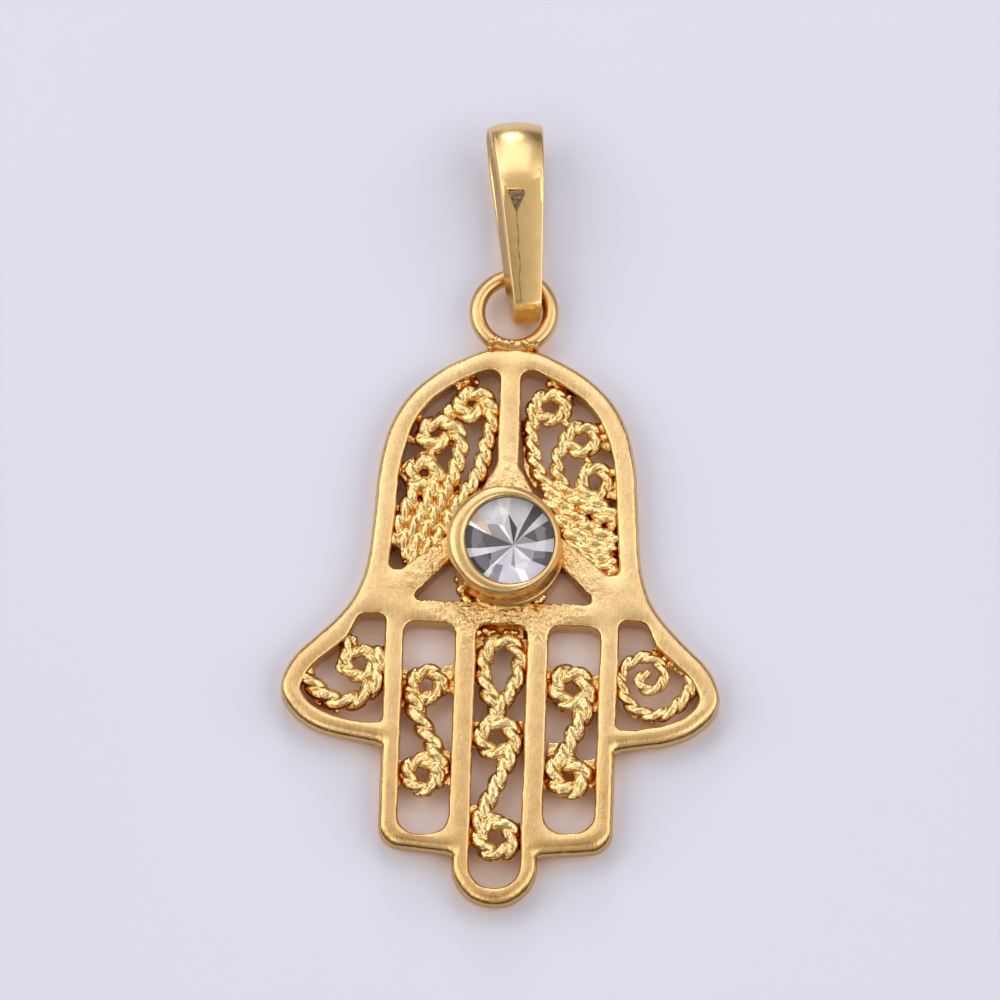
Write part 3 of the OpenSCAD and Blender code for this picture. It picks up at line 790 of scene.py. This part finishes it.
opening("finger_middle", [
    rope([(497, 709), (491, 698), (486, 685), (483, 670), (484, 656), (490, 644), (500, 639),
          (511, 641), (518, 650), (520, 663), (517, 677), (511, 689), (504, 699), (497, 710)],
         0.74, 1.6),
    rope(arc(497, 734.5, 16, 15.5, -60, -352) + [
        (513, 743), (509, 756), (502, 770), (495, 784), (488, 797), (482, 810), (478, 823),
        (480, 837), (488, 848), (500, 850), (510, 843), (512, 830), (504, 820), (493, 818),
        (483, 824)], 0.76, 1.6, phase=0.8),
    web([(471, 722), (482, 722), (482, 746), (471, 748)]),
    web([(513, 722), (523, 721), (523, 748), (513, 746)]),
    web([(467, 806), (484, 804), (482, 826), (480, 844), (467, 844)], 0.4, 0.9),
    web([(509, 822), (520, 820), (520, 848), (508, 846)]),
    web([(473, 640), (484, 642), (482, 672), (473, 676)], 0.4, 0.75),
    web([(519, 640), (527, 640), (527, 684), (518, 674)]),
    web([(488, 704), (508, 704), (506, 722), (490, 722)], 0.5, 0.85),
    web([(474, 624), (524, 624), (524, 646), (508, 637), (489, 637), (474, 648)], 0.35, 0.7),
    crumbs(472, 724, 476, 745, 4), crumbs(516, 724, 520, 748, 4),
    crumbs(470, 804, 476, 826, 6, 0.1), crumbs(480, 806, 492, 822, 8, 0.11, 1.0),
    crumbs(513, 820, 518, 840, 4), crumbs(477, 630, 521, 630, 16, 0.12, 0.75),
])
opening("finger_right", [
    rope([(584, 698), (575, 701), (565, 700), (557, 693), (555, 683), (560, 674), (570, 671),
          (580, 674), (586, 683), (586, 695), (584, 708), (579, 719), (574, 731), (569, 742),
          (563, 752), (555, 760), (552, 771), (557, 782), (566, 788), (577, 786), (583, 777),
          (580, 767), (571, 761), (561, 762)], 0.82, 1.6, phase=0.4),
    web([(545, 668), (558, 672), (556, 696), (545, 700)]),
    web([(585, 680), (599, 676), (599, 712), (584, 708)], 0.4, 0.85),
    web([(541, 756), (555, 760), (554, 784), (541, 790)]),
    web([(583, 762), (595, 758), (595, 790), (580, 786)]),
    web([(548, 742), (566, 742), (560, 758), (546, 764)], 0.35, 0.65),
    crumbs(547, 674, 551, 698, 5), crumbs(591, 680, 596, 712, 6),
    crumbs(544, 758, 548, 786, 5), crumbs(586, 758, 592, 790, 6),
])


# ---- the cup

# Above the frame's face the cup leans to the right, nods along the hand and moves to the ring
CUP_LEAN, CUP_NOD, CUP_UP = math.radians(4.5), math.radians(4), 0.2


def leaning(v):
    """Points round the cup's axis, leant and moved to the cup's place."""
    x, y, z = v[:, 0], v[:, 1], v[:, 2] - FACE_Z
    k = np.clip(z / 0.3, 0, 1)
    lean, nod = CUP_LEAN * k, CUP_NOD * k
    out_x = x * np.cos(lean) + z * np.sin(lean)
    z = z * np.cos(lean) - x * np.sin(lean)
    return np.column_stack([out_x, y * np.cos(nod) - z * np.sin(nod) + CUP_Y + CUP_UP * k,
                            FACE_Z + z * np.cos(nod) + y * np.sin(nod)])


# Radius and height, from the foot over the lip to the pocket under the stone
CUP_PROFILE = [
    (2.12, 0.0), (2.18, 0.06), (2.2, 0.2), (2.22, 0.6), (2.24, 1.0), (2.25, 1.25), (2.245, 1.4),
    (2.245, 1.6), (2.255, 1.8), (2.27, 2.1), (2.28, 2.3), (2.28, 2.42),
    (2.272, 2.52), (2.25, 2.61), (2.205, 2.69), (2.14, 2.755), (2.06, 2.80), (1.97, 2.822),
    (1.89, 2.81), (1.83, 2.77), (1.79, 2.71), (1.765, 2.63), (1.77, 2.55), (1.81, 2.45),
    (1.93, 2.34), (1.93, 2.1), (1.2, 1.3), (0.5, 0.6), (0.28, 0.55)
]
v, f = lathe(CUP_PROFILE, 144)
# The cup sits to the right. Its wall was pushed over the stone by hand, so the lip is wider on
# the left
CUP_RIGHT, LIP_LEFT = 0.09, 0.22
wall = np.clip((np.hypot(v[:, 0], v[:, 1]) - 1.78) / 0.4, 0, 1) * np.clip(v[:, 2] - 1.2, 0, 1)
# The lip's inner face, painted dark as the shade in the gap round the stone
lip_shade_faces = [k for k, q in enumerate(f) if v[list(q)][:, 2].max() < 2.73
              and np.hypot(*v[q[0]][:2]) < 2.0 and v[q[0]][2] > 2.0]
v = leaning(v)
v[:, 0] += CUP_RIGHT - LIP_LEFT * wall
# Not quite round
a = np.arctan2(v[:, 1] - CUP_Y, v[:, 0])
v[:, 0] += 0.006 * np.cos(3 * a + 1)
v[:, 1] += 0.006 * np.sin(2 * a)
cup = piece("cup", v, f, CUP)


# ---- ring and solder

# Middle, outer diameter and wire as in the CAD
RING = np.array([0.03, 24.87])
RING_D, WIRE = 3.54, 0.62
RING_R = (RING_D - WIRE) / 2
# The CAD's bail lies tipped on its right edge. The ring's wire runs through it, a gap above its
# lower band.
CAD_BAIL_L, FOOT_W, CAD_HEAD_W, FOOT_R, BAIL_T = 8.2, 1.0, 2.1, 0.9, 0.42
ROLL, TURN = math.radians(5), math.radians(6)
GAP = 0.07
resting_w = FOOT_W + (CAD_HEAD_W - FOOT_W) / CAD_BAIL_L * (CAD_BAIL_L - 1.5)
bail_lift = resting_w / 2 * math.sin(ROLL)
RING_Z = bail_lift + FOOT_W / 2 * math.sin(ROLL) + BAIL_T + GAP + WIRE / 2
sec = [around(RING_R + 0.02, RING_Z, 0.325, 0.315, t)
       for t in np.linspace(0, 2 * math.pi, 32, endpoint=False)]
v, f = lathe(sec, 120, closed=True)
# A darker copy of the cup's gold: painted shade that tones down the ring's highlights
RING_GOLD = gold("gold_ring", (0.75, 0.49, 0.205), (0.82, 0.565, 0.255), (0.23, 0.35), CUP_MARKS,
                 speck=0.1)
piece("ring", v + np.array([*RING, 0]), f, RING_GOLD)

solder = []
for k in range(26):
    t = math.radians(-90 + (k - 12.5) * 2.4)
    d = RING_R + 0.25 + 0.05 * rng.random()
    solder.append(ball((*around(*RING, d, d, t), 0.78 + 0.1 * rng.random()),
                       0.2 * (0.7 + 0.5 * rng.random()), (1, 0.8, 1)))
solder += crumbs(489, 342.5, 512, 344.5, 28, 0.1, 1.3)
solder += crumbs(518, 343.5, 537, 346.5, 24, 0.1, 1.3)
solder.append(ball((RING[0], HAND_H - 0.1, 0.75), 0.34, (2.6, 0.9, 1)))
fused("solder", solder, LUMP_CELL, 1, 0.015)

burrs = crumbs(458, 578, 470, 604, 26, 0.15, 0.95) + crumbs(548, 580, 536, 604, 26, 0.15, 0.95)
fused("cup_burrs", burrs, LUMP_CELL, 1, 0.02)


# ---- the bail

N_ARC, N_LINE = 64, 84  # points along the profile's arcs and straight sides


def drop(y0, foot_r, low_z, half_l, half_h):
    """Points round the bail's profile: a round foot, straight sides and a half-elliptical head."""
    # Where the upper side leaves the head's ellipse and meets the foot's circle
    top, foot = math.radians(113), math.radians(104.8)
    mid = (BAIL_L - HEAD_L, low_z + half_h)
    out = [(y0 + (mid[0] - y0) * k / N_LINE, low_z) for k in range(N_LINE)]
    for k in range(N_ARC):
        a = -math.pi / 2 + (top + math.pi / 2) * k / N_ARC
        out.append(around(*mid, half_l, half_h, a))
    p = around(*mid, half_l, half_h, top)
    q = around(y0, low_z + foot_r, foot_r, foot_r, foot)
    out += [(p[0] + (q[0] - p[0]) * k / N_LINE, p[1] + (q[1] - p[1]) * k / N_LINE)
            for k in range(N_LINE)]
    for k in range(N_ARC // 2):
        a = foot + (3 * math.pi / 2 - foot) * k / (N_ARC // 2)
        out.append(around(y0, low_z + foot_r, foot_r, foot_r, a))
    return np.array(out)


# Slightly longer and wider than the CAD's
BAIL_L, HEAD_L, HEAD_H = 8.31, 2.4, 1.5
HEAD_W = 2.18


def half_width(y):
    """Half the band's width, this far from its foot."""
    return (FOOT_W + (HEAD_W - FOOT_W) / BAIL_L * y) / 2


# The foot's middle lies this far below the ring's, and its corner rests against the ring's inside
BELOW = 0.45
reach = RING_D / 2 - WIRE - GAP
corner_y = FOOT_W / 2 * math.sin(TURN) - BELOW
BAIL_X = RING[0] + math.sqrt(reach ** 2 - corner_y ** 2) - FOOT_W / 2 * math.cos(TURN) \
    - FOOT_R * math.sin(ROLL)
to_hand = Matrix.Translation((BAIL_X, RING[1] - BELOW, bail_lift)) \
    @ Matrix.Rotation(TURN, 4, "Z") @ Matrix.Rotation(ROLL, 4, "Y")
to_bail = to_hand.inverted()


def in_place(points):
    """Points on the bail's own axes, moved to where the bail lies."""
    return [list(to_hand @ Vector(q)) for q in points]


def on_bail(u, v, z=2.7):
    """Place on the bail's own axes that the photograph shows at u, v."""
    x, y = place(u, v, z)
    q = to_bail @ Vector((x, y, z))
    return q[0], q[1]


VEE_X, VEE_Y = on_bail(516.5, 189)


def ease(value, start, span):
    """From 0 at the start to 1 a span further on."""
    return max(0, min(1, (value - start) / span))


def bail_mesh():
    """The band, as a loop of cross sections from inner edge to inner edge over its outer face."""
    cols = 41
    out = drop(FOOT_R, FOOT_R, 0, HEAD_L, HEAD_H)
    inn = drop(1.35, 0.48, BAIL_T, HEAD_L - BAIL_T, HEAD_H - BAIL_T)
    verts = []
    for o, i in zip(out, inn):
        d = (i - o) / np.linalg.norm(i - o)
        head = ease(o[0], 4.4, 2.0)
        upper = ease(o[1], 0.7, 0.8)
        wo, wi = half_width(o[0]), half_width(i[0])
        left, right = wo - 0.02, wo + 0.07 * upper
        end = min(1, max(0, (BAIL_L + 0.1 - o[0]) / 0.9))
        in_left, in_right = wi + 0.2 * upper * end, wi + 0.03 * upper
        edge = 0.07 + 0.05 * head
        crown = 0.03 + 0.11 * head
        turns = [(edge * (1 - math.cos(a)), o + d * (crown + edge * (1 - math.sin(a))))
                 for a in np.radians(np.linspace(0, 90, 7))]
        row = [(-(in_left - 0.06), i), (-in_left, i - d * 0.06)]
        row += [(-(left - back), p) for back, p in turns]
        for x in np.linspace(-(left - edge), right - edge, cols)[1:-1]:
            t = (x - (right - left) / 2) / ((left + right) / 2 - edge)
            # The head's dome ends at a V above the chisel's mark
            bend = (o[0] - VEE_Y - 0.9 * max(0, abs(x - VEE_X) - 0.36)) / 0.1
            over = max(0, min(1, bend)) if o[1] > 1.2 else 1
            row.append((x, o + d * (0.03 + (crown - 0.03) * over) * abs(t) ** 2.2))
        row += [(right - back, p) for back, p in reversed(turns)]
        row += [(in_right, i - d * 0.06), (in_right - 0.06, i)]
        verts += [(x, p[0], p[1]) for x, p in row]
    return np.array(verts), bands(len(out), len(row), closed=True)


skin, f = bail_mesh()
bail = piece("bail_band", in_place(skin), f, POLISHED, "bail")
# The band's end wraps the foot: rough, with its deep orange a painted reflection of the ring's gold
FOOT = gold("gold_foot_painted_reflection", (1.0, 0.50, 0.09), (1.0, 0.64, 0.18), (0.35, 0.5), [
    ((4, 4, 4), 4, 0.6, 0.9, 0.06)], speck=0.3, reach=0.2)
bail.data.materials.append(FOOT)
foot_y = on_bail(526, 303, 1.85)[1]
for poly, face in zip(bail.data.polygons, f):
    c = skin[list(face)].mean(axis=0)
    if c[1] < foot_y and c[2] > 0.5:
        poly.material_index = 1


def skin_z(x, y):
    """Height of the bail's outer face at a place on its own axes."""
    up = skin[skin[:, 2] > 1.3]
    d = (up[:, 0] - x) ** 2 + (up[:, 1] - y) ** 2
    near_by = up[np.argsort(d)[:12]]
    return float(near_by[:, 2].max())


def on_skin(u, v, z, lift):
    """Place on the bail's outer face that the photograph shows at u, v, lifted a little."""
    x, y = on_bail(u, v, z)
    return np.array([x, y, skin_z(x, y) + lift])


# Dark grainy metal: the seam's dark line, painted shade on the cup lip's inner face, and a painted
# dark reflection on the chisel's mark, three-cornered with a bright upper lip
DARK_SEAM_AND_SHADE, nt, bsdf = nodes_of("dark_seam_and_painted_shade")
grains = noise_of(nt, coords(nt), (9, 9, 9), 3, 0.6)
fill(nt, bsdf, {
    "Metallic": 1,
    "Base Color": ramp(nt, grains, [(0.32, (0.1, 0.07, 0.04)), (0.55, (0.26, 0.18, 0.11)),
                                    (0.75, (0.54, 0.39, 0.24))]),
    "Roughness": ramp(nt, grains, [(0.3, (0.35,)), (0.7, (0.6,))]),
    "Normal": bump_of(nt, [(grains, 0.8, 0.03)])})
# Painted shade on the lip's inner face
cup.data.materials.append(DARK_SEAM_AND_SHADE)
for k in lip_shade_faces:
    cup.data.polygons[k].material_index = 1
# The chisel's mark: a thin dark sheet on the band, its darkness a painted dark reflection
corners = [on_skin(507, 191, 2.7, 0), on_skin(526, 191, 2.7, 0), on_skin(516.3, 212, 2.7, 0)]
mid = sum(corners) / 3
outline = filled_in(rounded([(c[0], c[1], r) for c, r in zip(corners, (0.06, 0.1, 0.05))]), 0.06)
n = len(outline)
tops = np.array([(q[0], q[1], skin_z(q[0], q[1]) + 0.008) for q in outline])
inner = [mid + (t - mid) * k + np.array([0, 0, 0.004 * wave(t[0], t[1], k, 0.2, 8)])
         for k in (0.75, 0.5, 0.25) for t in tops]
v = np.vstack([tops - [0, 0, 0.06], tops, inner, [mid + [0, 0, 0.006]]])
f = bands(5, n) + [(4 * n + i, 4 * n + (i + 1) % n, 5 * n) for i in range(n)] + ends(5, n)[:1]
piece("bail_mark", in_place(v), f, DARK_SEAM_AND_SHADE, "bail")
lip = [on_skin(506.5 + 2.5 * k, 189.6 + 0.5 * math.sin(k), 2.7, -0.012) for k in range(9)]
piece("bail_mark_lip", *tube(in_place(lip), 0.036), POLISHED, "bail")
# The seam below the mark
seam = through([on_skin(u, v, z, 0.002) for u, v, z in (
    (516.4, 211, 2.65), (517.2, 222, 2.55), (518.6, 236, 2.45), (518.2, 248, 2.35),
    (520.4, 262, 2.2), (519.2, 276, 2.1), (520.3, 290, 1.95), (521, 301, 1.85))], 0.08)
seam[:, 0] += [0.012 * wave(q[0], q[1], 0, 0.3, 6) for q in seam]
seam_r = 0.014 + 0.006 * np.sin(np.arange(len(seam)) * 0.9)
piece("bail_seam", *tube(in_place(seam), seam_r, 8), DARK_SEAM_AND_SHADE, "bail")


# ---- the stone

# The foiled facets: each begins at this angle, and has painted reflections, the tones that its
# surroundings give it
# near the middle and near the girdle: Light, Middle, Dark, White or Peach
FACETS = [(9, "MD"), (33, "LL"), (45, "DD"), (60, "WL"), (64, "DL"), (90, "LW"), (107, "WL"),
          (120, "ML"), (136, "MP"), (152, "WW"), (158, "DD"), (190, "LL"), (203, "MD"), (233, "WL"),
          (242, "LM"), (256, "LL"), (272, "WL"), (281, "ML"), (290, "LW"), (300, "LL"), (315, "WL"),
          (330, "MD"), (351, "LL")]


def stone_mesh():
    """Points, faces and a letter for each face: C for clear, otherwise the painted reflection on
    its foil.
    """
    r, table_r, girdle, crown, pavilion = 1.9, 1.12, 0.04, 0.42, 0.8
    star = r + (table_r - r) * 0.44

    def rp(rr, a, z):
        return (*around(0, 0, rr, rr, math.radians(a)), z)

    star_z = girdle + crown * (r - star * math.cos(math.radians(22.5))) / (r - table_r)
    pts = [rp(table_r, 45 * i, girdle + crown) for i in range(8)]
    pts += [rp(star, 45 * i + 22.5, star_z) for i in range(8)]
    pts += [rp(r, 22.5 * i, girdle) for i in range(16)]
    n = len(FACETS)
    pts += [rp(r, a, -girdle) for a, _ in FACETS]
    for i, (a, _) in enumerate(FACETS):
        low = r * (0.52 + 0.14 * math.cos(2.3 * i + 1))
        pts.append(rp(low, a + 3 * math.sin(1.7 * i), -girdle - pavilion * (1 - low / r) - 0.03))
    pts.append((0.23, 0.18, -girdle - pavilion))
    # Crown: the table, then its 8 stars, kites and pairs of girdle facets
    faces, tones = [tuple(range(8))], "C"
    for i in range(8):
        k = (i + 1) % 8
        faces += [(i, 8 + i, k), (i, 8 + (i + 7) % 8, 16 + 2 * i, 8 + i),
                  (8 + i, 16 + 2 * i, 17 + 2 * i), (8 + i, 17 + 2 * i, 16 + 2 * k)]
        tones += "CCCC"
    # Girdle: the crown's 16 points joined to the pavilion's
    i, j = 0, 0
    while i < 16 or j < n:
        if j == n or (i < 16 and 22.5 * (i + 1) <= (FACETS[j + 1][0] if j + 1 < n else 369)):
            faces.append((16 + i % 16, 32 + j % n, 16 + (i + 1) % 16))
            i += 1
        else:
            faces.append((16 + i % 16, 32 + j % n, 32 + (j + 1) % n))
            j += 1
        tones += "C"
    for i, (_, tone) in enumerate(FACETS):
        k = (i + 1) % n
        faces += [(32 + n + i, 32 + n + k, 32 + k, 32 + i), (32 + n + i, 32 + n + k, 32 + 2 * n)]
        tones += tone[1] + tone[0]
    return np.array(pts), faces, tones


# Clear glass over foil: it lets the light in, and its facets gleam by the angle
mat, nt, bsdf = nodes_of("crystal")
gleam = ramp(nt, node(nt, "LayerWeight").outputs["Facing"],
             [(0.0, (0.06,)), (0.5, (0.11,)), (0.8, (0.3,)), (1.0, (0.95,))])
fill(nt, bsdf, {"Base Color": (1, 1, 1, 1), "Metallic": 1, "Roughness": 0.02, "Alpha": gleam})
TONES = {"C": mat}
# The foil's tones, which are painted reflections: colour, metallic, roughness
for letter, col, metal, rough in (
        ("L", (0.88, 0.86, 0.95), 0, 0.1), ("M", (0.38, 0.37, 0.42), 0, 0.1),
        ("D", (0.045, 0.04, 0.055), 0, 0.1), ("W", WHITE, 0.6, 0.3),
        ("P", (0.98, 0.72, 0.55), 0, 0.1)):
    TONES[letter], nt, bsdf = nodes_of("foil_" + letter.lower())
    uneven = noise_of(nt, coords(nt), (0.9, 0.9, 0.9), 2)
    tone = ramp(nt, uneven, [(0.35, tuple(0.8 * c for c in col)), (0.65, col)])
    fill(nt, bsdf, {"Base Color": tone, "Metallic": metal, "Roughness": rough})
STONE_X, GIRDLE_Z = 0.1, 2.27
v, f, tones = stone_mesh()
v = leaning(v + np.array([0, 0, GIRDLE_Z]))
v[:, 0] += STONE_X
stone = piece("stone_cut", v, f, TONES["C"], "stone", "crystal", smooth=False)
letters = "".join(TONES)
for letter in letters[1:]:
    stone.data.materials.append(TONES[letter])
for poly, letter in zip(stone.data.polygons, tones):
    poly.material_index = letters.index(letter)
turned_out(stone.data)


# ---- floor, light, camera

# Pale paper, warmer and brighter where the gold throws light on it
mat, nt, bsdf = nodes_of("floor")
paper = ramp(nt, noise_of(nt, coords(nt), (0.02, 0.02, 0.02), 2),
             [(0.3, (0.655, 0.665, 0.765)), (0.7, (0.675, 0.685, 0.785))])
glow = ramp(nt, occlusion(nt, 2.4, 8), [
    (0.08, (1.5, 1.02, 0.64)), (0.24, (1.5, 1.2, 0.93)), (0.42, (1.48, 1.34, 1.17)),
    (0.56, (1.25, 1.16, 1.08)), (0.72, WHITE)])
fill(nt, bsdf, {"Base Color": times(nt, paper, glow), "Roughness": 0.55,
                "Specular IOR Level": 0.25})
mesh = bpy.data.meshes.new("floor")
HALF_FLOOR, FLOOR_Z = 0.6, -1e-5
mesh.from_pydata([(x * HALF_FLOOR, y * HALF_FLOOR, FLOOR_Z)
                  for x, y in ((-1, -1), (1, -1), (1, 1), (-1, 1))], [], [(0, 1, 2, 3)])
mesh.materials.append(mat)
linked("floor", mesh)

world = bpy.data.worlds.new("studio")
bpy.context.scene.world = world
world.use_nodes = True
nt = world.node_tree
nt.nodes.clear()
bg = node(nt, "Background", {"Strength": 1.0})
node(nt, "OutputWorld", {0: bg.outputs[0]})
direction = coords(nt, "Generated")
height = node(nt, "SeparateXYZ", {0: direction}).outputs["Z"]
sky = ramp(nt, height, [
    (0.0, (0.2, 0.17, 0.15)), (0.12, (0.06, 0.05, 0.04)), (0.3, (0.08, 0.065, 0.055)),
    (0.4, (0.5, 0.47, 0.44)), (0.7, (0.68, 0.64, 0.61)), (0.93, (0.56, 0.52, 0.48)),
    (1.0, (0.60, 0.55, 0.50))])


def lobe(toward, outer, inner, gain):
    """Soft patch of the studio in one direction, brighter than the sky, or darker."""
    near_it = node(nt, "VectorMath", {0: direction, 1: Vector(toward).normalized()},
                   operation="DOT_PRODUCT").outputs["Value"]
    return smooth_step(nt, near_it, outer, inner, 0, gain)


LOBES = [((-0.75, 0.15, 0.66), 0.84, 0.94, 1.35), ((0.78, 0.1, 0.62), 0.85, 0.95, 1.15),
         ((0, -0.309, 0.951), 0.975, 0.99, -0.5), ((0, -0.07, 1), 0.975, 0.998, 0.16),
         ((-0.08, 0.93, 0.36), 0.985, 0.992, 5.0), ((0.5, -0.42, 0.75), 0.97, 0.985, 1.6),
         ((-0.45, -0.6, 0.66), 0.97, 0.985, 1.4)]
total = lobe(*LOBES[0])
for row in LOBES[1:]:
    total = joined(nt, "Math", "ADD", total, lobe(*row))
fill(nt, bg, {"Color": joined(nt, "VectorMath", "ADD", sky, total)})
bpy.context.scene.view_settings.view_transform = "Standard"

# One soft panel behind the pendant
lamp = bpy.data.lights.new("back_panel", "AREA")
lamp.shape = "RECTANGLE"
lamp.size, lamp.size_y = 150 * MM, 140 * MM
lamp.energy = 0.07
lamp.color = (0.95, 1.0, 1.25)
panel = linked("back_panel", lamp)
panel.location = Vector((-6, 125, 160)) * MM
panel.rotation_euler = (-panel.location).to_track_quat("-Z", "Y").to_euler()

# The camera, at the photograph's angle, looks at the middle of its frame
cam = bpy.data.cameras.new("camera")
cam.sensor_width = 36
cam.lens = 450
cam.clip_start, cam.clip_end = 0.01, 10
DISTANCE = 0.5
camera = linked("camera", cam)
x, y = place(500, 500, FACE_Z)
target = Vector((x, y - CUP_Y, FACE_Z)) * MM
right = Vector((math.cos(LEAN), math.sin(LEAN), 0))
flat_up = Vector((-math.sin(LEAN), math.cos(LEAN), 0))
back = -flat_up * math.sin(TILT) + Vector((0, 0, math.cos(TILT)))
up = flat_up * math.cos(TILT) + Vector((0, 0, math.sin(TILT)))
rot = Matrix((right, up, back)).transposed().to_4x4()
camera.matrix_world = Matrix.Translation(target + back * DISTANCE) @ rot
bpy.context.scene.camera = camera
